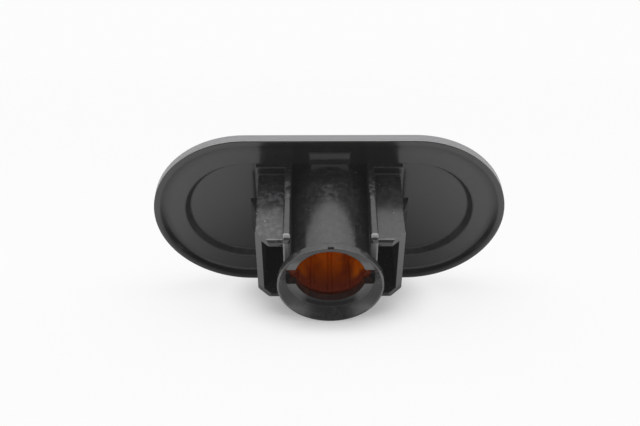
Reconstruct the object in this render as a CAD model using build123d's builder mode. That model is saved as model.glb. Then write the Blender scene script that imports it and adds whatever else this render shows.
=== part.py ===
from build123d import *

import os

# Side repeater lamp of a car, in millimetres.
# X runs along the lamp, +Y points out of the car through the lens, and +Z is up.
# The origin is on the axis of the bulb tube, in the plane of the lip's rear face,
# which seats on the car's panel. The tube and the clips reach back to -Y.
# The tube sits a little above the middle of the outline.

# Outline of the lamp: straight sides and half-round ends
WIDTH = 73.0
HEIGHT = 39.4
AXIS_RISE = 2.3

# Back plate of the housing: a flat lip, a hollow step to the ring and a sloped step to the pan
LIP_WIDTH = 1.2
LIP_EDGE = 0.45
OUTER_STEP_RUN = 2.2
OUTER_STEP_DEPTH = 0.7
RING_WIDTH = 3.05
INNER_STEP_RUN = 1.0
INNER_STEP_DEPTH = 1.3
PLATE_WALL = 1.2

# Rebated joint where the lens skirt sits on the lip and around a low spigot
REBATE_WIDTH = 0.6
REBATE_DEPTH = 0.75
SKIRT_WALL = 1.5
SPIGOT_HEIGHT = 0.6
SPIGOT_LEAD = 0.6
JOINT_CLEARANCE = 0.1

# Domed lens with upright ribs on its inner face
SKIRT_HEIGHT = 1.45
SKIRT_INNER_HEIGHT = 0.8
LENS_RISE = 9.0
LENS_WALL = 1.6
LENS_EDGE_ROUND = 0.4
LENS_RIB_PITCH = 3.0
LENS_RIB_WIDTH = 1.5
LENS_RIB_HEIGHT = 0.5
LENS_RIB_MARGIN = 6.0

# Bulb tube with a flared collar; lengths run back from the lip's rear face or from the tube's end
TUBE_RADIUS = 9.3
TUBE_WALL = 1.1
TUBE_LENGTH = 22.4
COLLAR_FLARE = 0.95
COLLAR_LENGTH = 1.6
COLLAR_WALL = 1.6
FLARE_LENGTH = 0.6
RIM_EDGE = 0.35
RIM_ROUND = 0.15
LEDGE_DEPTH = 2.5
LEDGE_THICKNESS = 1.7
SHOULDER_WIDTH = 1.25

# Bayonet notches for the bulb holder, and the index notch in the rim
NOTCH_REACH = 1.85
NOTCH_HEIGHT = 3.9
NOTCH_DEPTH = 2.6
INDEX_WIDTH = 1.15
INDEX_DEPTH = 0.6
INDEX_REACH = 1.0

# Flat ribs let into the sides of the tube
RIB_BITE = 1.7
RIB_THICKNESS = 1.4
RIB_HEIGHT = 20.0
RIB_LENGTH = 19.2
RIB_NOSE_RADIUS = 1.4
RIB_ROUND = 0.4

# Clip boxes outside the ribs, open to the rear, with a lead-in for the panel's cut-out
CLIP_SPAN = 28.8
CLIP_HEIGHT = 16.0
CLIP_LENGTH = 18.2
CLIP_WALL = 1.3
CLIP_LEAD = 2.7
CLIP_ROUND = 0.3
CLIP_NOSE_RADIUS = 0.8

# Raised pads that carry the ribs and the clip boxes on the pan
PAD_DEPTH = 1.2
PAD_REACH = 0.45

# Snap barbs that hold the panel against the lip
PANEL_GAP = 1.8
BARB_REACH = 1.6
BARB_LAND = 0.6
BARB_RAMP = 4.8
BARB_WIDTH = 8.0

# Two low wedge bars above the tube; the lower one runs into the tube's root
BAR_LENGTH = 7.8
UPPER_BAR_INSET = 3.8
UPPER_BAR_WIDTH = 1.3
UPPER_BAR_RELIEF = 0.5
LOWER_BAR_INSET = 7.05
LOWER_BAR_WIDTH = 2.4
LOWER_BAR_RELIEF = 1.0

# Amber cap: a fluted sleeve in the tube, closed in front by a shallow dome
CAP_CLEARANCE = 0.05
CAP_END_GAP = 1.0
CAP_WALL = 0.95
CAP_FLANGE_REACH = 1.7
CAP_FLANGE_THICKNESS = 0.8
CAP_RISE = 2.8
CAP_FLUTE_COUNT = 12
CAP_FLUTE_RADIUS = 0.6
CAP_FLUTE_HEIGHT = 0.35

# Places worked out from the sizes above
END_RADIUS = HEIGHT / 2
STRAIGHT = WIDTH - HEIGHT
LIP_INNER = END_RADIUS - LIP_WIDTH
RING_OUTER = LIP_INNER - OUTER_STEP_RUN
RING_INNER = RING_OUTER - RING_WIDTH
PAN_OUTER = RING_INNER - INNER_STEP_RUN
RING_REAR = OUTER_STEP_DEPTH
PAN_REAR = RING_REAR + INNER_STEP_DEPTH
RING_FRONT = RING_REAR + PLATE_WALL
PAN_FRONT = PAN_REAR + PLATE_WALL
REBATE_INNER = END_RADIUS - REBATE_WIDTH
SKIRT_INNER = END_RADIUS - SKIRT_WALL
SPIGOT_OUTER = SKIRT_INNER - JOINT_CLEARANCE
LENS_SEAT = LIP_EDGE + REBATE_DEPTH
LENS_EDGE = LIP_EDGE + SKIRT_HEIGHT
LENS_APEX = LENS_EDGE + LENS_RISE
LENS_INNER_APEX = LENS_APEX - LENS_WALL
LENS_INNER_EDGE = LENS_SEAT + SKIRT_INNER_HEIGHT

TUBE_END = -TUBE_LENGTH
LEDGE_REAR = TUBE_END + LEDGE_DEPTH
SHOULDER = LEDGE_REAR + LEDGE_THICKNESS
COLLAR_FRONT = TUBE_END + COLLAR_LENGTH
FLARE_FRONT = COLLAR_FRONT + FLARE_LENGTH
COLLAR_RADIUS = TUBE_RADIUS + COLLAR_FLARE
MOUTH_RADIUS = COLLAR_RADIUS - RIM_EDGE
COUNTERBORE_RADIUS = COLLAR_RADIUS - COLLAR_WALL
SLEEVE_BORE = TUBE_RADIUS - TUBE_WALL
HOLE_RADIUS = SLEEVE_BORE - SHOULDER_WIDTH
RIB_INNER = TUBE_RADIUS - RIB_BITE
RIB_OUTER = RIB_INNER + RIB_THICKNESS
CLIP_OUTER = CLIP_SPAN / 2
PAD_OUTER = CLIP_OUTER + PAD_REACH

# The half section of the outline's shells: local x runs out from the middle, local y is +Y
MIDDLE = Plane.XY.offset(-AXIS_RISE)
HALF_SECTION = Plane(origin=(STRAIGHT / 2, 0, -AXIS_RISE), x_dir=(0, 0, 1), z_dir=(-1, 0, 0))
END_AXIS = Axis((STRAIGHT / 2, 0, -AXIS_RISE), (0, 1, 0))
SIDES = (1, -1)


def rear_plane(y):
    """Sketch plane at a given y that faces back towards the tube, with +X and +Z as its axes."""
    return Plane.XZ.offset(-y)


def run_round_outline(section):
    """Run a half section along both straight sides and round both ends of the outline."""
    side = extrude(section, amount=STRAIGHT)
    mirror(side, about=MIDDLE)
    end = revolve(section, axis=END_AXIS, revolution_arc=180)
    mirror(end, about=Plane.YZ)


# Rear housing: stepped plate, bulb tube, ribs, clip boxes and barbs in one moulding
with BuildPart() as rear_housing:
    with BuildSketch(HALF_SECTION, mode=Mode.PRIVATE) as plate_section:
        with BuildLine():
            TangentArc((RING_OUTER, RING_REAR), (LIP_INNER, 0), tangent=(1, 0))
            Polyline(
                (LIP_INNER, 0),
                (END_RADIUS, 0),
                (END_RADIUS, LIP_EDGE),
                (REBATE_INNER - JOINT_CLEARANCE, LIP_EDGE),
                (REBATE_INNER - JOINT_CLEARANCE, LENS_SEAT),
                (SPIGOT_OUTER, LENS_SEAT),
                (SPIGOT_OUTER, LENS_SEAT + SPIGOT_HEIGHT),
                (SPIGOT_OUTER - SPIGOT_LEAD, RING_FRONT),
                (RING_INNER, RING_FRONT),
                (PAN_OUTER, PAN_FRONT),
                (0, PAN_FRONT),
                (0, PAN_REAR),
                (PAN_OUTER, PAN_REAR),
                (RING_INNER, RING_REAR),
                (RING_OUTER, RING_REAR),
            )
        make_face()
    run_round_outline(plate_section.sketch)

    # Wedge bars, each rising towards the tube
    bars = (
        (UPPER_BAR_INSET, UPPER_BAR_WIDTH, UPPER_BAR_RELIEF, RING_REAR),
        (LOWER_BAR_INSET, LOWER_BAR_WIDTH, LOWER_BAR_RELIEF, PAN_REAR),
    )
    for bar_inset, bar_width, bar_relief, bar_seat in bars:
        bar_top = END_RADIUS - AXIS_RISE - bar_inset
        bar_bottom = bar_top - bar_width
        with BuildSketch(Plane.YZ):
            with BuildLine():
                Polyline(
                    (bar_seat + PLATE_WALL / 2, bar_top),
                    (bar_seat, bar_top),
                    (bar_seat - bar_relief, bar_bottom),
                    (bar_seat + PLATE_WALL / 2, bar_bottom),
                    close=True,
                )
            make_face()
        extrude(amount=BAR_LENGTH / 2, both=True)

    # Bulb tube, solid until its bore is cut
    with BuildSketch(Plane.XY) as tube_section:
        with BuildLine():
            Polyline(
                (0, PAN_FRONT),
                (TUBE_RADIUS, PAN_FRONT),
                (TUBE_RADIUS, FLARE_FRONT),
                (COLLAR_RADIUS, COLLAR_FRONT),
                (COLLAR_RADIUS, TUBE_END),
                (0, TUBE_END),
                close=True,
            )
        make_face()
        fillet(tube_section.vertices().sort_by_distance((COLLAR_RADIUS, TUBE_END))[0], RIM_ROUND)
    revolve(axis=Axis.Y)

    for side in SIDES:
        # Pad on the pan under the rib and the clip box
        with BuildSketch(rear_plane(PAN_FRONT)):
            with Locations((side * (RIB_INNER + PAD_OUTER) / 2, 0)):
                Rectangle(PAD_OUTER - RIB_INNER, RIB_HEIGHT)
        extrude(amount=PLATE_WALL + PAD_DEPTH)

        # Flat rib with a rounded nose and rounded edges
        rib_middle = side * (RIB_INNER + RIB_OUTER) / 2
        with BuildSketch(Plane.YZ.offset(rib_middle), mode=Mode.PRIVATE) as rib_outline:
            with Locations(((PAN_FRONT - RIB_LENGTH) / 2, 0)):
                Rectangle(PAN_FRONT + RIB_LENGTH, RIB_HEIGHT)
            fillet(rib_outline.vertices().group_by(Axis.X)[0], RIB_NOSE_RADIUS)
        rib = extrude(rib_outline.sketch, amount=RIB_THICKNESS / 2, both=True, mode=Mode.PRIVATE)
        rib_edges = rib.faces().filter_by(Axis.X).edges().sort_by(Axis.Y)[:-2]
        add(rib.fillet(RIB_ROUND, rib_edges))

        # Clip box with rounded rear edges, cut at its rear outer corner for the lead-in
        with BuildSketch(rear_plane(PAN_FRONT), mode=Mode.PRIVATE) as clip_section:
            with Locations((side * (RIB_OUTER + CLIP_OUTER) / 2, 0)):
                Rectangle(CLIP_OUTER - RIB_OUTER, CLIP_HEIGHT)
            outer_corners = clip_section.vertices().sort_by(Axis.X, reverse=side > 0)[:2]
            fillet(outer_corners, CLIP_ROUND)
        clip_box = extrude(clip_section.sketch, amount=PAN_FRONT + CLIP_LENGTH, mode=Mode.PRIVATE)
        with BuildSketch(Plane.XY, mode=Mode.PRIVATE) as lead_section:
            with BuildLine():
                Polyline(
                    (side * (CLIP_OUTER - CLIP_LEAD), -CLIP_LENGTH),
                    (side * CLIP_OUTER, -CLIP_LENGTH),
                    (side * CLIP_OUTER, CLIP_LEAD - CLIP_LENGTH),
                    close=True,
                )
            make_face()
        clip_box -= extrude(lead_section.sketch, amount=CLIP_HEIGHT / 2, both=True, mode=Mode.PRIVATE)
        rear_edges = clip_box.faces().sort_by(Axis.Y)[0].edges().filter_by(Axis.X)
        add(clip_box.fillet(CLIP_NOSE_RADIUS, rear_edges))

        # Snap barb on the box's outer wall: catch face in front, ramp behind
        barb_front = -PANEL_GAP
        barb_peak = CLIP_OUTER + BARB_REACH
        with BuildSketch(Plane.XY):
            with BuildLine():
                Polyline(
                    (side * (CLIP_OUTER - CLIP_WALL / 2), barb_front),
                    (side * barb_peak, barb_front),
                    (side * barb_peak, barb_front - BARB_LAND),
                    (side * CLIP_OUTER, barb_front - BARB_LAND - BARB_RAMP),
                    (side * (CLIP_OUTER - CLIP_WALL / 2), barb_front - BARB_LAND - BARB_RAMP),
                    close=True,
                )
            make_face()
        extrude(amount=BARB_WIDTH / 2, both=True)

        # Pocket of the clip box, open to the rear and closed in front by the pan
        pocket_outer = CLIP_OUTER - CLIP_WALL
        with BuildSketch(rear_plane(PAN_REAR)):
            with Locations((side * (RIB_OUTER + pocket_outer) / 2, 0)):
                Rectangle(pocket_outer - RIB_OUTER, CLIP_HEIGHT - 2 * CLIP_WALL)
        extrude(amount=PAN_REAR + CLIP_LENGTH, mode=Mode.SUBTRACT)

    # Bore: tapered mouth for the bulb holder, ledge hole, and the seat of the amber sleeve
    with BuildSketch(Plane.XY):
        with BuildLine():
            Polyline(
                (0, TUBE_END),
                (MOUTH_RADIUS, TUBE_END),
                (COUNTERBORE_RADIUS, LEDGE_REAR),
                (HOLE_RADIUS, LEDGE_REAR),
                (HOLE_RADIUS, SHOULDER),
                (SLEEVE_BORE, SHOULDER),
                (SLEEVE_BORE, PAN_FRONT),
                (0, PAN_FRONT),
                close=True,
            )
        make_face()
    revolve(axis=Axis.Y, mode=Mode.SUBTRACT)

    # Bayonet notches through the ledge, and the index notch in the rim
    with BuildSketch(rear_plane(LEDGE_REAR)):
        Rectangle(2 * (HOLE_RADIUS + NOTCH_REACH), NOTCH_HEIGHT)
    extrude(amount=-NOTCH_DEPTH, mode=Mode.SUBTRACT)
    with BuildSketch(rear_plane(TUBE_END)):
        with Locations((0, COLLAR_RADIUS)):
            Rectangle(INDEX_WIDTH, 2 * INDEX_REACH)
    extrude(amount=-INDEX_DEPTH, mode=Mode.SUBTRACT)

# Upright ribs of the lens: strips of a shell just inside the straight part of the dome
with BuildPart() as lens_ribs:
    rib_reach = END_RADIUS - LENS_RIB_MARGIN
    with BuildSketch(HALF_SECTION, mode=Mode.PRIVATE) as rib_shell:
        with BuildLine():
            inner_dome = TangentArc((0, LENS_INNER_APEX), (SKIRT_INNER, LENS_INNER_EDGE), tangent=(1, 0))
            low_dome = TangentArc(
                (0, LENS_INNER_APEX - LENS_RIB_HEIGHT),
                (SKIRT_INNER, LENS_INNER_EDGE - LENS_RIB_HEIGHT),
                tangent=(1, 0),
            )
            Line(inner_dome @ 0, low_dome @ 0)
            Line(inner_dome @ 1, low_dome @ 1)
        make_face()
        with Locations((rib_reach / 2, 0)):
            Rectangle(rib_reach, 2 * LENS_APEX, mode=Mode.INTERSECT)
    upper_shell = extrude(rib_shell.sketch, amount=STRAIGHT)
    mirror(upper_shell, about=MIDDLE)
    with BuildSketch(Plane.XZ):
        with Locations((0, -AXIS_RISE)):
            with GridLocations(LENS_RIB_PITCH, HEIGHT, int(STRAIGHT / LENS_RIB_PITCH), 1):
                Rectangle(LENS_RIB_WIDTH, HEIGHT)
    extrude(amount=-LENS_APEX, mode=Mode.INTERSECT)

# Front lens: domed clear cover with a skirt that laps the lip
with BuildPart() as front_lens:
    with BuildSketch(HALF_SECTION, mode=Mode.PRIVATE) as lens_section:
        with BuildLine():
            inner_dome = TangentArc((0, LENS_INNER_APEX), (SKIRT_INNER, LENS_INNER_EDGE), tangent=(1, 0))
            outer_dome = TangentArc((0, LENS_APEX), (END_RADIUS, LENS_EDGE), tangent=(1, 0))
            Line(inner_dome @ 0, outer_dome @ 0)
            Polyline(
                (SKIRT_INNER, LENS_INNER_EDGE),
                (SKIRT_INNER, LENS_SEAT),
                (REBATE_INNER, LENS_SEAT),
                (REBATE_INNER, LIP_EDGE),
                (END_RADIUS, LIP_EDGE),
                (END_RADIUS, LENS_EDGE),
            )
        make_face()
        fillet(lens_section.vertices().sort_by_distance((END_RADIUS, LENS_EDGE))[0], LENS_EDGE_ROUND)
    run_round_outline(lens_section.sketch)
    add(lens_ribs.part)

# Amber cap: sleeve down the tube, flange on the pan, dome behind the lens
with BuildPart() as amber_cap:
    cap_outer = SLEEVE_BORE - CAP_CLEARANCE
    cap_inner = cap_outer - CAP_WALL
    cap_rear = SHOULDER + CAP_END_GAP
    flange_front = PAN_FRONT + CAP_FLANGE_THICKNESS
    with BuildSketch(Plane.XY):
        with BuildLine():
            inner_cap = TangentArc((0, PAN_FRONT + CAP_RISE), (cap_inner, PAN_FRONT), tangent=(1, 0))
            outer_cap = TangentArc((0, flange_front + CAP_RISE), (cap_outer, flange_front), tangent=(1, 0))
            Line(inner_cap @ 0, outer_cap @ 0)
            Polyline(
                (cap_inner, PAN_FRONT),
                (cap_inner, cap_rear),
                (cap_outer, cap_rear),
                (cap_outer, PAN_FRONT),
                (cap_outer + CAP_FLANGE_REACH, PAN_FRONT),
                (cap_outer + CAP_FLANGE_REACH, flange_front),
                (cap_outer, flange_front),
            )
        make_face()
    revolve(axis=Axis.Y)
    flute_centre = cap_inner - CAP_FLUTE_HEIGHT + CAP_FLUTE_RADIUS
    with BuildSketch(rear_plane(PAN_FRONT)):
        with PolarLocations(flute_centre, CAP_FLUTE_COUNT):
            Circle(CAP_FLUTE_RADIUS)
    extrude(amount=PAN_FRONT - cap_rear)

os.makedirs("parts", exist_ok=True)
rear_housing.part.label = "rear_housing"
export_step(rear_housing.part, "parts/rear_housing.step")
front_lens.part.label = "front_lens"
export_step(front_lens.part, "parts/front_lens.step")
amber_cap.part.label = "amber_cap"
export_step(amber_cap.part, "parts/amber_cap.step")
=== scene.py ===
import logging
import math
from dataclasses import dataclass, field
from enum import Enum

import bmesh
import bpy
from mathutils import Euler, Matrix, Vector


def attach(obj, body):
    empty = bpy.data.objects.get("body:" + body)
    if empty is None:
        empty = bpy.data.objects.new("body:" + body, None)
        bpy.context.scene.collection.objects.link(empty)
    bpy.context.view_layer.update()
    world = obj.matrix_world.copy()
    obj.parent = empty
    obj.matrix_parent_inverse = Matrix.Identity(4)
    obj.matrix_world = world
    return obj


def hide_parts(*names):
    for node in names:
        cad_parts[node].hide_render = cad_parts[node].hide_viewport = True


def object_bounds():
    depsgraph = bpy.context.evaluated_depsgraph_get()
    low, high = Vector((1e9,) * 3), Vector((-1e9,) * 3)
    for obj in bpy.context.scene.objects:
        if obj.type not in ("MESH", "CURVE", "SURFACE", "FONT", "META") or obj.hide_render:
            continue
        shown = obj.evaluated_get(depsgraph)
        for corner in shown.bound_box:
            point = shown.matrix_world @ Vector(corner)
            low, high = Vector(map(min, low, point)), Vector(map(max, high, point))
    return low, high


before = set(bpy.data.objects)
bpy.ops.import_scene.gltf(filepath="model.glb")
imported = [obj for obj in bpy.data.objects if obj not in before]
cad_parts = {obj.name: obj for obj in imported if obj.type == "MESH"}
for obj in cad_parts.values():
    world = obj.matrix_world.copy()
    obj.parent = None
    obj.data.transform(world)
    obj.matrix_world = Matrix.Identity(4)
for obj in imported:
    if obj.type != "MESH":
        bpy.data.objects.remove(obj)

CAD_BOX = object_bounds()
LOG = logging.getLogger("side_repeater")

# A name that ends in _mm holds millimetres, and one in _px pixels; every other length is in metres.
MM = 0.001
# From the tube's axis this far reaches past the plate on every side.
PAST_PLATE_MM = 40.0

Socket = bpy.types.NodeSocket
Span = tuple[float, float]
Point = tuple[float, float, float]
Colour = tuple[float, float, float, float]
Value = Socket | float | Point | Colour


def grey(tone: float) -> Colour:
    """Return an opaque grey of the given tone."""
    return (tone, tone, tone, 1.0)


BLACK = grey(0.0)
WHITE = grey(1.0)


class Node(Enum):
    """Names of the lamp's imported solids."""

    HOUSING = "rear_housing"
    LENS = "front_lens"
    CAP = "amber_cap"


class Shader(Enum):
    """Kinds of shader in the finishes and the surroundings."""

    PRINCIPLED = "ShaderNodeBsdfPrincipled"
    DIFFUSE = "ShaderNodeBsdfDiffuse"
    TRANSPARENT = "ShaderNodeBsdfTransparent"
    EMISSION = "ShaderNodeEmission"
    BACKGROUND = "ShaderNodeBackground"


class Operation(Enum):
    """Ways to join two numbers."""

    PRODUCT = "MULTIPLY"
    LARGEST = "MAXIMUM"
    DIFFERENCE = "SUBTRACT"


class Measure(Enum):
    """Ways to get a number from two vectors."""

    DISTANCE = "DISTANCE"
    LIKENESS = "DOT_PRODUCT"


class Mix(Enum):
    """What a Mix node mixes, and the numbers of its first, second and result sockets."""

    NUMBERS = ("FLOAT", 2, 3, 0)
    COLOURS = ("RGBA", 6, 7, 2)


@dataclass(frozen=True)
class Patch:
    """A box in the lamp's frame that marks a part of a surface.

    Attributes:
        low_mm: The box's lowest corner.
        high_mm: The box's highest corner.
        soft_mm: Way over which each side fades outwards.
        level: What the patch gives: a tone, a roughness, a share or a factor.
    """

    low_mm: Point
    high_mm: Point
    soft_mm: float
    level: float = 1.0


@dataclass(frozen=True)
class Mottle:
    """Cloudy noise, and the range of its values that is used.

    Attributes:
        scale: Cells in a metre.
        detail: Octaves of finer noise.
        low: Value at which the range starts.
        high: Value at which the range ends.
    """

    scale: float
    detail: float
    low: float
    high: float


@dataclass(frozen=True)
class Specks:
    """Round specks, at most one in a cell.

    Attributes:
        scale: Cells in a metre.
        radius: Radius of a speck, as a part of a cell.
        share: Part of the cells that hold a speck.
        strength: How strongly a speck shows.
        core: Part of a speck's radius within which it is full.
        faint: Part of the specks that show less.
    """

    scale: float
    radius: float
    share: float
    strength: float
    core: float = 0.5
    faint: float = 0.5


def plate_layer(from_mm: float, to_mm: float, soft_mm: float, level: float) -> Patch:
    """Make a patch that takes in the whole plate between two depths.

    Args:
        from_mm: Depth at which the layer starts.
        to_mm: Depth at which the layer ends.
        soft_mm: Way over which it fades.
        level: What the patch gives.

    Returns:
        The patch.
    """
    low_mm = (-PAST_PLATE_MM, from_mm, -PAST_PLATE_MM)
    high_mm = (PAST_PLATE_MM, to_mm, PAST_PLATE_MM)
    return Patch(low_mm, high_mm, soft_mm, level)


class ShaderGraph:
    """A short way to add and join shader nodes in one material or world."""

    def __init__(self, tree: bpy.types.NodeTree) -> None:
        """Take over a node tree and empty it."""
        self.tree = tree
        self.tree.nodes.clear()

    def add(self, kind: str, inputs: dict[str | int, Value] | None = None,
            **settings: object) -> bpy.types.Node:
        """Add a node, set its properties and feed its sockets.

        Args:
            kind: Blender's name of the node type.
            inputs: Another node's output to link, or a constant to set, by the socket's name or number.
            settings: Properties to set on the node.

        Returns:
            The new node.
        """
        node = self.tree.nodes.new(kind)
        for name, setting in settings.items():
            setattr(node, name, setting)
        for key, value in (inputs or {}).items():
            if isinstance(value, Socket):
                self.tree.links.new(value, node.inputs[key])
            else:
                node.inputs[key].default_value = value
        return node

    def shader(self, kind: Shader, inputs: dict[str, Value]) -> Socket:
        """Add a shader and feed its sockets by name."""
        return self.add(kind.value, inputs).outputs[0]

    def mix_shaders(self, share: Socket, first: Socket, second: Socket) -> Socket:
        """Mix two shaders by the second one's share."""
        return self.add("ShaderNodeMixShader", {"Fac": share, 1: first, 2: second}).outputs["Shader"]

    def blend(self, share: Socket, first: Value, second: Value, mix: Mix = Mix.COLOURS) -> Socket:
        """Mix two colours or two numbers.

        Args:
            share: Share of the second one.
            first: First colour or number.
            second: Second colour or number.
            mix: Which of the two kinds they are.

        Returns:
            The mixed colour or number.
        """
        kind, at_first, at_second, at_result = mix.value
        node = self.add("ShaderNodeMix", {0: share, at_first: first, at_second: second}, data_type=kind)
        return node.outputs[at_result]

    def object_place(self) -> Socket:
        """Return the Object coordinates, in metres."""
        return self.add("ShaderNodeTexCoord").outputs["Object"]

    def axes(self, vector: Socket) -> tuple[Socket, Socket, Socket]:
        """Split a vector into its X, Y and Z."""
        split = self.add("ShaderNodeSeparateXYZ", {"Vector": vector}).outputs
        return split["X"], split["Y"], split["Z"]

    def vector(self, x: Value, y: Value, z: Value) -> Socket:
        """Join three numbers into a vector."""
        return self.add("ShaderNodeCombineXYZ", {"X": x, "Y": y, "Z": z}).outputs["Vector"]

    def measure(self, how: Measure, first: Value, second: Value) -> Socket:
        """Get a number from two vectors."""
        node = self.add("ShaderNodeVectorMath", {0: first, 1: second}, operation=how.value)
        return node.outputs["Value"]

    def math(self, operation: Operation, *values: Value) -> Socket:
        """Join numbers two at a time, from the first on.

        Args:
            operation: How two numbers are joined.
            values: Two or more numbers.

        Returns:
            The result.
        """
        result, *others = values
        for value in others:
            node = self.add("ShaderNodeMath", {0: result, 1: value}, operation=operation.value)
            result = node.outputs["Value"]
        return result

    def product(self, *factors: Value) -> Socket:
        """Return the product of the numbers."""
        return self.math(Operation.PRODUCT, *factors)

    def largest(self, *values: Value) -> Socket:
        """Return the largest of the numbers."""
        return self.math(Operation.LARGEST, *values)

    def size(self, value: Socket) -> Socket:
        """Return a number without its sign."""
        return self.largest(value, self.product(value, -1.0))

    def ramp(self, value: Socket, low: float, high: float,
             start: float = 0.0, end: float = 1.0) -> Socket:
        """Map a number smoothly from one range to another.

        Args:
            value: The number to map.
            low: Where the range starts.
            high: Where the range ends.
            start: Result at the range's start.
            end: Result at the range's end.

        Returns:
            The mapped number.
        """
        ends = {"From Min": low, "From Max": high, "To Min": start, "To Max": end}
        node = self.add("ShaderNodeMapRange", {"Value": value, **ends}, interpolation_type="SMOOTHSTEP")
        return node.outputs["Result"]

    def fade(self, place: Socket, span_mm: Span, start: float = 0.0, end: float = 1.0) -> Socket:
        """Map a place along a line smoothly between the ends of a span.

        Args:
            place: The place, in metres.
            span_mm: Where the fade starts and ends.
            start: Result up to the span's start.
            end: Result from the span's end on.

        Returns:
            The mapped number.
        """
        from_mm, to_mm = span_mm
        return self.ramp(place, from_mm * MM, to_mm * MM, start, end)

    def noise(self, vector: Socket, scale: float, detail: float) -> Socket:
        """Return noise from 0 to 1, by its cells in a metre and its octaves of finer noise."""
        inputs = {"Vector": vector, "Scale": scale, "Detail": detail}
        return self.add("ShaderNodeTexNoise", inputs).outputs["Fac"]

    def mottle(self, vector: Socket, mottle: Mottle, start: float = 0.0, end: float = 1.0) -> Socket:
        """Map the used range of cloudy noise to another range.

        Args:
            vector: Coordinates to read.
            mottle: The noise and the range that is used.
            start: Result at the range's start.
            end: Result at the range's end.

        Returns:
            The mapped number.
        """
        cloud = self.noise(vector, mottle.scale, mottle.detail)
        return self.ramp(cloud, mottle.low, mottle.high, start, end)

    def specks(self, vector: Socket, specks: Specks) -> Socket:
        """Scatter round specks.

        Args:
            vector: Coordinates to read.
            specks: The specks.

        Returns:
            The strength in a speck and 0 elsewhere.
        """
        inputs = {"Vector": vector, "Scale": specks.scale}
        cells = self.add("ShaderNodeTexVoronoi", inputs, feature="F1").outputs
        inside = self.ramp(cells["Distance"], specks.core * specks.radius, specks.radius, 1.0, 0.0)
        draw = self.add("ShaderNodeSeparateColor", {"Color": cells["Color"]}).outputs["Red"]
        chosen = self.ramp(draw, 1.0 - specks.share, 1.0 - specks.faint * specks.share)
        return self.product(inside, chosen, specks.strength)

    def within(self, vector: Socket, patch: Patch) -> Socket:
        """Mark a patch.

        Args:
            vector: Coordinates to read, in metres.
            patch: The patch.

        Returns:
            1 inside the patch and 0 outside it.
        """
        sides = []
        for place, low, high in zip(self.axes(vector), patch.low_mm, patch.high_mm):
            sides.append(self.fade(place, (low - patch.soft_mm, low)))
            sides.append(self.fade(place, (high, high + patch.soft_mm), 1.0, 0.0))
        return self.product(*sides)

    def level(self, vector: Socket, patch: Patch) -> Socket:
        """Return the patch's level inside the patch and 0 outside it."""
        return self.product(self.within(vector, patch), patch.level)

    def folded(self, vector: Socket) -> Socket:
        """Fold the left half over the right half, so that one patch marks both."""
        x, y, z = self.axes(vector)
        return self.vector(self.size(x), y, z)


@dataclass(frozen=True)
class Finish:
    """A material of the lamp or its stage."""

    name: str = "finish"

    def material(self) -> bpy.types.Material:
        """Make the material and let the finish fill it.

        Returns:
            The material.
        """
        material = bpy.data.materials.new(self.name)
        material.use_nodes = True
        graph = ShaderGraph(material.node_tree)
        graph.add("ShaderNodeOutputMaterial", {"Surface": self.surface(graph)})
        return material

    def surface(self, graph: ShaderGraph) -> Socket:
        """Build the shader in the material's node tree; each finish has its own."""
        raise NotImplementedError


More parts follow.
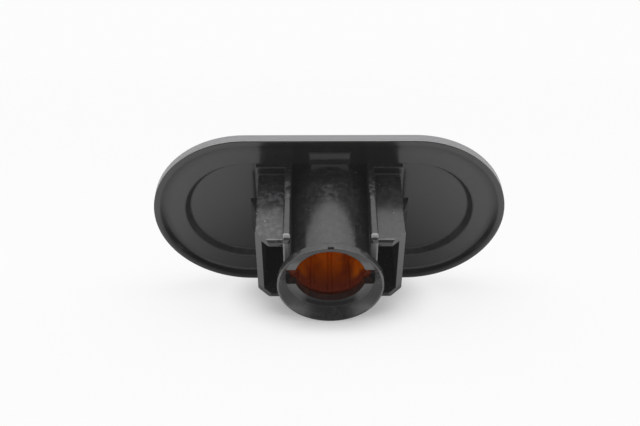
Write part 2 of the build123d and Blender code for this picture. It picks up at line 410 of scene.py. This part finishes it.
@dataclass(frozen=True)
class BlackPlastic(Finish):
    """Glossy black moulding with softened edges, a fine grain and settled dust, and with painted shade,
    painted reflections, a painted highlight and a slight painted glow in places.
    """

    name: str = "black_moulded_plastic"

    # Plain plastic, with a slight even painted glow that stands in for stray light
    cloud: Mottle = Mottle(scale=130.0, detail=3.0, low=0.3, high=0.7)
    tones: Span = (0.009, 0.013)
    roughs: Span = (0.17, 0.21)
    gloss: float = 0.90
    stray_light_glow: float = 0.007

    # Rounded edges and the mould's grain
    edge_round_mm: float = 0.18
    plate_round_mm: float = 0.60
    round_samples: int = 6
    grain_scale: float = 2600.0
    grain_detail: float = 2.0
    grain_depth_mm: float = 0.010
    grain_strength: float = 0.35

    # How the plate's steps catch the light
    plate_mm: Span = (-0.6, 0.2)
    plate_under_keep: float = 0.35
    lip_step: Patch = plate_layer(0.03, 0.66, soft_mm=0.05, level=2.5)
    lip_step_height_mm: Span = (-10.0, 3.0)
    pan_step: Patch = plate_layer(0.85, 1.85, soft_mm=0.10, level=0.40)
    bars: Patch = Patch((-4.1, 0.3, 7.8), (4.1, 2.3, 13.9), soft_mm=0.3, level=0.46)

    # Which way a face looks, as spans of its normal's Z for the first and Y for the others
    faces_up: Span = (0.25, 0.90)
    faces_rear: Span = (0.0, 0.3)
    square_to_rear: Span = (-0.45, -0.15)

    # Places painted in shade, duller with less reflection
    index_notch_shade: Patch = Patch((-0.56, -22.3, 8.4), (0.56, -21.6, 10.1), soft_mm=0.08)
    box_foot_shade: Patch = Patch((9.5, -18.6, -9.6), (15.6, -15.2, -7.0), soft_mm=0.5, level=0.70)
    lip_shade: float = 0.60
    shade_inside_mm: Span = (17.4, 17.8)
    shade_outside_mm: Span = (18.7, 19.5)
    shade_height_mm: Span = (-11.0, 0.0)
    shade_depth_mm: Span = (0.55, 0.70)

    # Dust on what faces up
    dust_colour: Colour = (0.38, 0.37, 0.40, 1.0)
    dust: Mottle = Mottle(scale=900.0, detail=4.0, low=0.30, high=0.75)
    dust_patches: Mottle = Mottle(scale=420.0, detail=5.0, low=0.24, high=0.54)
    dust_film: Span = (0.055, 0.19)
    dust_rough: float = 0.22
    dusty_box: Patch = Patch((-14.6, -17.6, 7.6), (-9.8, -5.4, 8.4), soft_mm=2.0)
    dusty_ribs: Patch = Patch((-12.0, -8.0, 9.7), (12.0, -4.0, 10.2), soft_mm=1.0)
    grains: tuple[Specks, ...] = (
        Specks(scale=560.0, radius=0.15, share=0.12, strength=0.55),
        Specks(scale=1500.0, radius=0.22, share=0.35, strength=0.16),
    )

    # Places painted lighter grey as painted reflections and a painted highlight, the same on both sides
    painted_mouth_light: Patch = Patch((6.0, -22.3, -6.0), (9.4, -18.6, 3.0), soft_mm=2.0, level=0.095)
    painted_rib_end_light: Patch = Patch((7.4, -19.4, -9.9), (9.2, -18.8, 8.4), soft_mm=0.15, level=0.13)
    painted_nose_highlight: Patch = Patch((7.3, -18.62, 9.6), (9.3, -18.15, 10.2), soft_mm=0.25, level=0.23)

    # Lip's outer edge, where the lens is welded over it
    weld_tone: float = 0.32
    weld_outside_mm: Span = (19.3, 19.5)
    weld_depth_mm: Span = (0.02, 0.08)

    def surface(self, graph: ShaderGraph) -> Socket:
        """Build the shader.

        Args:
            graph: The material's node tree.

        Returns:
            The shader's output.
        """
        place = graph.object_place()
        folded = graph.folded(place)
        reach = self.outline_reach(graph, place)
        _, outward, upward = graph.axes(graph.add("ShaderNodeNewGeometry").outputs["Normal"])
        lying = graph.ramp(upward, *self.faces_up)
        specks = [graph.specks(place, kind) for kind in self.grains]
        grains = graph.product(lying, graph.largest(*specks))
        # Painted shade in the index notch: black colour and no reflection
        notch_shade = graph.within(place, self.index_notch_shade)

        colour = graph.blend(graph.mottle(place, self.cloud), *map(grey, self.tones))
        dust = graph.largest(self.film(graph, place, lying), grains)
        colour = graph.blend(dust, colour, self.dust_colour)
        square = graph.ramp(outward, *self.square_to_rear, 1.0, 0.0)
        # Painted reflections: lighter grey on the mouth's flanks and the ribs' rear ends
        for patch in (self.painted_mouth_light, self.painted_rib_end_light):
            painted_light = graph.product(graph.within(folded, patch), square)
            colour = graph.blend(painted_light, colour, grey(patch.level))
        # Painted highlight on the rib noses
        nose_highlight = graph.within(folded, self.painted_nose_highlight)
        colour = graph.blend(nose_highlight, colour, grey(self.painted_nose_highlight.level))
        colour = graph.blend(self.weld(graph, place, reach), colour, grey(self.weld_tone))

        # Painted shade takes reflection away in the index notch, at the boxes' feet and on the lower lip
        painted_shade = graph.largest(notch_shade, graph.level(folded, self.box_foot_shade), self.shade(graph, place, reach))
        rough = graph.largest(graph.mottle(place, self.cloud, *self.roughs),
                              graph.product(lying, self.dust_rough), grains)
        rearward = graph.ramp(outward, *self.faces_rear, 1.0, 0.0)
        for patch in (self.bars, self.pan_step):
            rough = graph.largest(rough, graph.product(graph.level(place, patch), rearward))
        return graph.shader(Shader.PRINCIPLED, {
            "Base Color": graph.blend(notch_shade, colour, BLACK),
            "Specular Tint": graph.blend(painted_shade, WHITE, BLACK),
            "Specular IOR Level": self.gloss,
            "Roughness": rough,
            "Normal": self.relief(graph, place),
            # An even painted glow stands in for stray light
            "Emission Color": WHITE,
            "Emission Strength": self.stray_light_glow,
        })

    def film(self, graph: ShaderGraph, place: Socket, lying: Socket) -> Socket:
        """Spread a film of dust, thicker in patches on the left box and the ribs.

        Args:
            graph: The material's node tree.
            place: Object coordinates.
            lying: How far the surface faces up.

        Returns:
            The share of dust.
        """
        dusty = graph.largest(graph.within(place, self.dusty_box), graph.within(place, self.dusty_ribs))
        patches = graph.product(dusty, graph.mottle(place, self.dust_patches))
        thickness = graph.ramp(patches, 0.0, 1.0, *self.dust_film)
        return graph.product(lying, graph.mottle(place, self.dust), thickness)

    def outline_reach(self, graph: ShaderGraph, place: Socket) -> Socket:
        """Measure how far a place lies from the middle line of the plate's pill-shaped outline.

        Args:
            graph: The material's node tree.
            place: Object coordinates.

        Returns:
            The distance, in metres.
        """
        low, high = CAD_BOX
        straight = high.x - (high.z - low.z) / 2
        middle = (0.0, 0.0, (high.z + low.z) / 2)
        x, _, z = graph.axes(place)
        beyond = graph.math(Operation.DIFFERENCE, graph.size(x), straight)
        return graph.measure(Measure.DISTANCE, graph.vector(graph.largest(beyond, 0.0), 0.0, z), middle)

    def shade(self, graph: ShaderGraph, place: Socket, reach: Socket) -> Socket:
        """Mark the lower half of the lip's step and of the rear face beside it, which are painted in
        shade and duller.

        Args:
            graph: The material's node tree.
            place: Object coordinates.
            reach: Distance from the middle line of the outline.

        Returns:
            The share of reflection that the painted shade takes away.
        """
        _, depth, height = graph.axes(place)
        return graph.product(
            graph.fade(reach, self.shade_inside_mm),
            graph.fade(reach, self.shade_outside_mm, 1.0, 0.0),
            graph.fade(height, self.shade_height_mm, self.lip_shade, 0.0),
            graph.fade(depth, self.shade_depth_mm, 1.0, 0.0))

    def weld(self, graph: ShaderGraph, place: Socket, reach: Socket) -> Socket:
        """Mark the lip's outer edge, where the lens is welded over it.

        Args:
            graph: The material's node tree.
            place: Object coordinates.
            reach: Distance from the middle line of the outline.

        Returns:
            1 on the edge and 0 elsewhere.
        """
        _, depth, _ = graph.axes(place)
        edge = graph.fade(reach, self.weld_outside_mm)
        return graph.product(edge, graph.fade(depth, self.weld_depth_mm))

    def relief(self, graph: ShaderGraph, place: Socket) -> Socket:
        """Soften the edges, even out how the plate's steps catch the light and add the mould's grain.

        Args:
            graph: The material's node tree.
            place: Object coordinates.

        Returns:
            The surface's normal.
        """
        _, depth, height = graph.axes(place)
        radius = graph.fade(depth, self.plate_mm, self.edge_round_mm * MM, self.plate_round_mm * MM)
        rounded = graph.add("ShaderNodeBevel", {"Radius": radius}, samples=self.round_samples)
        sideways, outward, upward = graph.axes(rounded.outputs["Normal"])
        lower = graph.fade(height, self.lip_step_height_mm, self.lip_step.level, 1.0)
        steep = graph.largest(graph.product(graph.within(place, self.lip_step), lower), 1.0)
        under = graph.product(upward, graph.fade(depth, self.plate_mm, 1.0, self.plate_under_keep))
        raised = graph.largest(graph.product(upward, steep), under)
        eased = graph.vector(graph.product(sideways, steep), outward, raised)
        even = graph.add("ShaderNodeVectorMath", {0: eased}, operation="NORMALIZE")
        grain = graph.add("ShaderNodeBump", {
            "Strength": self.grain_strength,
            "Distance": self.grain_depth_mm * MM,
            "Height": graph.noise(place, self.grain_scale, self.grain_detail),
            "Normal": even.outputs["Vector"],
        })
        return grain.outputs["Normal"]


@dataclass(frozen=True)
class ClearPlastic(Finish):
    """Polished clear plastic whose welded skirt is frosted."""

    name: str = "clear_lens_plastic"
    clear_colour: Colour = (0.93, 0.94, 0.95, 1.0)
    frost_colour: Colour = (0.36, 0.36, 0.37, 1.0)
    frost_ends_mm: Span = (1.95, 2.35)
    frost_see_through: float = 0.30
    haze: Mottle = Mottle(scale=400.0, detail=5.0, low=0.35, high=0.80)
    haze_roughs: Span = (0.015, 0.04)
    frost: Mottle = Mottle(scale=700.0, detail=4.0, low=0.30, high=0.70)
    frost_roughs: Span = (0.38, 0.50)
    refraction: float = 1.49

    def surface(self, graph: ShaderGraph) -> Socket:
        """Build the shader.

        Args:
            graph: The material's node tree.

        Returns:
            The shader's output.
        """
        place = graph.object_place()
        _, depth, _ = graph.axes(place)
        clear = graph.fade(depth, self.frost_ends_mm)
        frost = graph.mottle(place, self.frost, *self.frost_roughs)
        haze = graph.mottle(place, self.haze, *self.haze_roughs)
        return graph.shader(Shader.PRINCIPLED, {
            "Base Color": graph.blend(clear, self.frost_colour, self.clear_colour),
            "Roughness": graph.blend(clear, frost, haze, Mix.NUMBERS),
            "Transmission Weight": graph.ramp(clear, 0.0, 1.0, self.frost_see_through, 1.0),
            "IOR": self.refraction,
        })


@dataclass(frozen=True)
class AmberPlastic(Finish):
    """Transparent amber plastic of the filter cap, painted in shade towards its rear end, with a painted
    flute shadow and painted light on its flanks.
    """

    name: str = "amber_cap_plastic"
    # Painted shade, mottled, darkens the sleeve towards its rear end deep in the tube
    shaded_amber_colour: Colour = (0.25, 0.068, 0.042, 1.0)
    amber_colour: Colour = (1.0, 0.27, 0.025, 1.0)
    shade_ends_mm: Span = (-17.0, -6.0)
    shade_mottle: Mottle = Mottle(scale=210.0, detail=2.0, low=0.35, high=0.62)
    shade_mottle_keep: float = 0.62
    # Painted shadow of a flute
    flute_shadow: Patch = Patch((2.9, -13.0, -7.4), (3.6, -6.5, -5.0), soft_mm=0.8, level=0.50)
    # Painted light on the sleeve's flanks
    painted_flank_light: tuple[Patch, ...] = (
        Patch((5.4, -14.1, -5.0), (7.5, -11.2, 3.0), soft_mm=2.0, level=0.96),
        Patch((-7.5, -13.9, -5.0), (-5.5, -11.4, 3.0), soft_mm=2.0, level=0.64),
    )
    dome_starts_mm: Span = (-2.5, -0.5)
    sleeve_see_through: float = 0.15
    dome_see_through: float = 0.95
    wear: Mottle = Mottle(scale=300.0, detail=4.0, low=0.3, high=0.7)
    wear_roughs: Span = (0.10, 0.22)
    refraction: float = 1.5

    def surface(self, graph: ShaderGraph) -> Socket:
        """Build the shader.

        Args:
            graph: The material's node tree.

        Returns:
            The shader's output.
        """
        place = graph.object_place()
        _, depth, _ = graph.axes(place)
        # Lit share of the amber: painted shade towards the rear end and in a flute's shadow, painted
        # light on the flanks
        painted_flute_shadow = graph.within(place, self.flute_shadow)
        lit_share = graph.product(
            graph.fade(depth, self.shade_ends_mm),
            graph.mottle(place, self.shade_mottle, self.shade_mottle_keep, 1.0),
            graph.ramp(painted_flute_shadow, 0.0, 1.0, 1.0, self.flute_shadow.level))
        lit_share = graph.largest(lit_share, *(graph.level(place, flank) for flank in self.painted_flank_light))
        see_through = graph.fade(depth, self.dome_starts_mm,
                                 self.sleeve_see_through, self.dome_see_through)
        return graph.shader(Shader.PRINCIPLED, {
            "Base Color": graph.blend(lit_share, self.shaded_amber_colour, self.amber_colour),
            "Roughness": graph.mottle(place, self.wear, *self.wear_roughs),
            "Transmission Weight": see_through,
            "IOR": self.refraction,
        })


@dataclass(frozen=True)
class PaleTable(Finish):
    """White table top, seen only from above, that thins out towards its edges."""

    name: str = "pale_table"
    tones: Span = (0.90, 0.91)
    mottle_scale: float = 30.0
    mottle_detail: float = 3.0
    foot: Point = (0.0, -0.011, 0.0)
    glow_tone: float = 0.98
    glow_radii: Span = (0.011, 0.0235)
    glow_shares: Span = (0.30, 0.80)
    glow_in_gloss: float = 0.20
    fade_radii: Span = (0.16, 0.42)
    front_edge: Span = (-0.110, -0.080)

    def surface(self, graph: ShaderGraph) -> Socket:
        """Build the shader.

        Args:
            graph: The material's node tree.

        Returns:
            The shader's output.
        """
        place = graph.object_place()
        _, along, _ = graph.axes(place)
        away = graph.measure(Measure.DISTANCE, place, self.foot)
        mottle = graph.noise(place, self.mottle_scale, self.mottle_detail)
        paint = graph.shader(Shader.DIFFUSE, {"Color": graph.blend(mottle, *map(grey, self.tones))})
        white = graph.shader(Shader.EMISSION, {"Color": grey(self.glow_tone)})
        rays = graph.add("ShaderNodeLightPath").outputs
        glossy = graph.product(rays["Is Glossy Ray"], self.glow_in_gloss)
        seen = graph.largest(rays["Is Camera Ray"], rays["Is Transmission Ray"], glossy)
        glow = graph.ramp(away, *self.glow_radii, *self.glow_shares)
        lifted = graph.mix_shaders(graph.product(seen, glow), paint, white)
        front = graph.ramp(along, *self.front_edge, 1.0, 0.0)
        below = graph.add("ShaderNodeNewGeometry").outputs["Backfacing"]
        gone = graph.largest(graph.ramp(away, *self.fade_radii), front, below)
        return graph.mix_shaders(gone, lifted, graph.shader(Shader.TRANSPARENT, {}))


@dataclass
class LampPiece:
    """A moulding of the lamp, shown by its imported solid."""

    node: Node
    finish: Finish

    def dress(self) -> bpy.types.Object:
        """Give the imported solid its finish.

        Returns:
            The solid's object.
        """
        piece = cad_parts[self.node.value]
        piece.data.materials.clear()
        piece.data.materials.append(self.finish.material())
        return piece


@dataclass
class RearHousing(LampPiece):
    """Black housing with the plate, the bulb tube and the clips."""

    node: Node = Node.HOUSING
    finish: Finish = field(default_factory=BlackPlastic)


@dataclass
class FrontLens(LampPiece):
    """Clear domed lens welded to the lip, shown by a merged copy that shades evenly."""

    node: Node = Node.LENS
    finish: Finish = field(default_factory=ClearPlastic)
    slot: str = "clear_lens"
    merge_mm: float = 0.001
    crisp_degrees: float = 25.0
    ribs_end_mm: float = 16.5
    slant: Span = (0.15, 0.97)

    def sound_side(self, shape: bmesh.types.BMesh) -> float:
        """Find the half with less area that slants across the ribs.

        Args:
            shape: The merged copy.

        Returns:
            1 for the half towards +X, -1 for the other half.
        """
        least, most = self.slant
        slanting = {1.0: 0.0, -1.0: 0.0}
        for face in shape.faces:
            middle = face.calc_center_median().x
            if abs(middle) < self.ribs_end_mm * MM and least < abs(face.normal.x) < most:
                slanting[math.copysign(1.0, middle)] += face.calc_area()
        return 1.0 if slanting[1.0] <= slanting[-1.0] else -1.0

    def evened(self) -> bmesh.types.BMesh:
        """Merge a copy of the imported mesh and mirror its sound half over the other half.

        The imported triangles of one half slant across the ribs.

        Returns:
            The copy.
        """
        merge = self.merge_mm * MM
        shape = bmesh.new()
        shape.from_mesh(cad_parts[self.node.value].data)
        bmesh.ops.remove_doubles(shape, verts=shape.verts, dist=merge)
        bmesh.ops.dissolve_degenerate(shape, edges=shape.edges, dist=merge)
        shape.normal_update()
        whole = [*shape.verts, *shape.edges, *shape.faces]
        bmesh.ops.bisect_plane(shape, geom=whole, plane_co=(0.0, 0.0, 0.0),
                               plane_no=(self.sound_side(shape), 0.0, 0.0), clear_inner=True)
        half = [*shape.verts, *shape.edges, *shape.faces]
        bmesh.ops.mirror(shape, geom=half, axis="X", merge_dist=merge)
        bmesh.ops.recalc_face_normals(shape, faces=shape.faces)
        return shape

    def dress(self) -> bpy.types.Object:
        """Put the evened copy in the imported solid's place, with crisp ribs on a smooth dome.

        Returns:
            The copy.
        """
        mesh = bpy.data.meshes.new(self.slot)
        shape = self.evened()
        shape.to_mesh(mesh)
        shape.free()
        packed_normals = mesh.attributes.get("custom_normal")
        if packed_normals:
            mesh.attributes.remove(packed_normals)
        mesh.shade_smooth()
        mesh.set_sharp_from_angle(angle=math.radians(self.crisp_degrees))
        mesh.materials.clear()
        mesh.materials.append(self.finish.material())
        piece = bpy.data.objects.new(self.slot, mesh)
        bpy.context.scene.collection.objects.link(piece)
        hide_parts(self.node.value)
        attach(piece, "root")
        return piece


@dataclass
class AmberCap(LampPiece):
    """Amber filter sleeve inside the bulb tube."""

    node: Node = Node.CAP
    finish: Finish = field(default_factory=AmberPlastic)


@dataclass
class PhotoCamera:
    """Camera that stands where the photograph was taken, with its angles in radians."""

    place_mm: Point = (-2.466, -147.705, 139.834)
    pitch_down: float = 0.76514
    turn_right: float = 0.00369
    focal_px: float = 980.72
    image_width_px: float = 640.0
    sensor_mm: float = 36.0
    sees_from: float = 0.01
    sees_to: float = 20.0

    def build(self) -> bpy.types.Object:
        """Add the camera and make it the scene's own.

        Returns:
            The camera.
        """
        data = bpy.data.cameras.new("photo_camera")
        data.sensor_width = self.sensor_mm
        data.lens = self.focal_px / self.image_width_px * self.sensor_mm
        data.clip_start = self.sees_from
        data.clip_end = self.sees_to
        camera = bpy.data.objects.new("photo_camera", data)
        camera.location = Vector(self.place_mm) * MM
        camera.rotation_euler = Euler((math.pi / 2 - self.pitch_down, 0.0, -self.turn_right))
        bpy.context.scene.collection.objects.link(camera)
        bpy.context.scene.camera = camera
        return camera


@dataclass(frozen=True)
class SoftLight:
    """A flat soft light over the lamp.

    Attributes:
        name: The light's name.
        width: Its size along X.
        depth: Its size across X.
        rise_degrees: Angle at which it hangs above the level line through the lens.
        radiance: Its brightness; 1 is as bright as a white surround.
    """

    name: str
    width: float
    depth: float
    rise_degrees: float
    radiance: float


@dataclass(frozen=True)
class DimArea:
    """A dim part of the white surroundings.

    Attributes:
        tone: Tone in its middle.
        towards: Direction to its middle.
        edge: Cosine of the angle from the middle to its edge.
        core: Cosine of the angle within which it is fully dim.
    """

    tone: float
    towards: Point
    edge: float
    core: float


@dataclass
class Studio:
    """Pale table on which the lamp lies tipped back, white surroundings and soft light."""

    collar_drop_mm: float = 10.25
    floor_size: float = 1.2
    floor_finish: Finish = field(default_factory=PaleTable)
    backdrop_tone: float = 0.975
    sky_tone: float = 0.72
    viewer_side: DimArea = DimArea(tone=0.14, towards=(0.0, -0.72, 0.69), edge=0.40, core=0.74)
    lens_side: DimArea = DimArea(tone=0.16, towards=(0.0, 0.98, -0.20), edge=0.70, core=0.96)
    light_distance: float = 0.70
    lights: tuple[SoftLight, ...] = (
        SoftLight("softbox", width=1.3, depth=0.50, rise_degrees=64.4, radiance=0.38),
        SoftLight("strip_light", width=1.2, depth=0.16, rise_degrees=73.0, radiance=3.0),
    )

    def tilt(self) -> float:
        """Return the table's angle about X, from the lip's lower edge up to the collar's lowest point."""
        low, _ = CAD_BOX
        return math.atan2(-self.collar_drop_mm * MM - low.z, -low.y)

    def floor(self) -> bpy.types.Object:
        """Add the table.

        Returns:
            The table.
        """
        mesh = bpy.data.meshes.new("floor")
        shape = bmesh.new()
        bmesh.ops.create_grid(shape, x_segments=1, y_segments=1, size=self.floor_size / 2)
        shape.to_mesh(mesh)
        shape.free()
        low, _ = CAD_BOX
        floor = bpy.data.objects.new("floor", mesh)
        floor.location = (0.0, 0.0, low.z)
        floor.rotation_euler = (-self.tilt(), 0.0, 0.0)
        bpy.context.scene.collection.objects.link(floor)
        mesh.materials.append(self.floor_finish.material())
        return floor

    def surroundings(self) -> bpy.types.World:
        """Surround the scene with white.

        As a light it is dimmer. The gloss sees both dim areas in it, and a view through clear plastic
        sees the one on the lens's side.

        Returns:
            The world.
        """
        world = bpy.data.worlds.new("white_room")
        world.use_nodes = True
        bpy.context.scene.world = world
        graph = ShaderGraph(world.node_tree)
        backdrop = grey(self.backdrop_tone)
        through = self.dimmed(graph, backdrop, self.lens_side)
        mirrored = self.dimmed(graph, through, self.viewer_side)
        rays = graph.add("ShaderNodeLightPath").outputs
        around = graph.shader(Shader.BACKGROUND, {"Color": grey(self.sky_tone)})
        shown = {"Is Glossy Ray": mirrored, "Is Transmission Ray": through, "Is Camera Ray": backdrop}
        for ray, colour in shown.items():
            seen = graph.shader(Shader.BACKGROUND, {"Color": colour})
            around = graph.mix_shaders(rays[ray], around, seen)
        graph.add("ShaderNodeOutputWorld", {"Surface": around})
        return world

    def dimmed(self, graph: ShaderGraph, colour: Value, area: DimArea) -> Socket:
        """Dim the colour of the surroundings in one area.

        Args:
            graph: The world's node tree.
            colour: The colour outside the area.
            area: The area.

        Returns:
            The dimmed colour.
        """
        direction = graph.add("ShaderNodeTexCoord").outputs["Generated"]
        towards = graph.measure(Measure.LIKENESS, direction, area.towards)
        return graph.blend(graph.ramp(towards, area.edge, area.core), colour, grey(area.tone))

    def panel(self, light: SoftLight) -> bpy.types.Object:
        """Hang a soft light over the table, turned towards the lamp.

        Args:
            light: The light's sizes.

        Returns:
            The light.
        """
        data = bpy.data.lights.new(light.name, "AREA")
        data.shape = "RECTANGLE"
        data.size = light.width
        data.size_y = light.depth
        data.energy = light.radiance * math.pi * light.width * light.depth
        panel = bpy.data.objects.new(light.name, data)
        lean = math.pi / 2 - math.radians(light.rise_degrees)
        panel.location = Vector((0.0, math.sin(lean), math.cos(lean))) * self.light_distance
        panel.rotation_euler = (-lean, 0.0, 0.0)
        bpy.context.scene.collection.objects.link(panel)
        return panel

    def build(self) -> None:
        """Set up the table, the surroundings, the lights and the colour handling."""
        self.floor()
        self.surroundings()
        for light in self.lights:
            self.panel(light)
        bpy.context.scene.view_settings.view_transform = "Standard"


def main() -> None:
    """Dress the lamp and set the scene."""
    logging.basicConfig(level=logging.INFO, format="%(message)s")
    for piece in (RearHousing(), FrontLens(), AmberCap()):
        LOG.info("dressed %s", piece.dress().name)
    Studio().build()
    PhotoCamera().build()


if __name__ == "__main__":
    main()
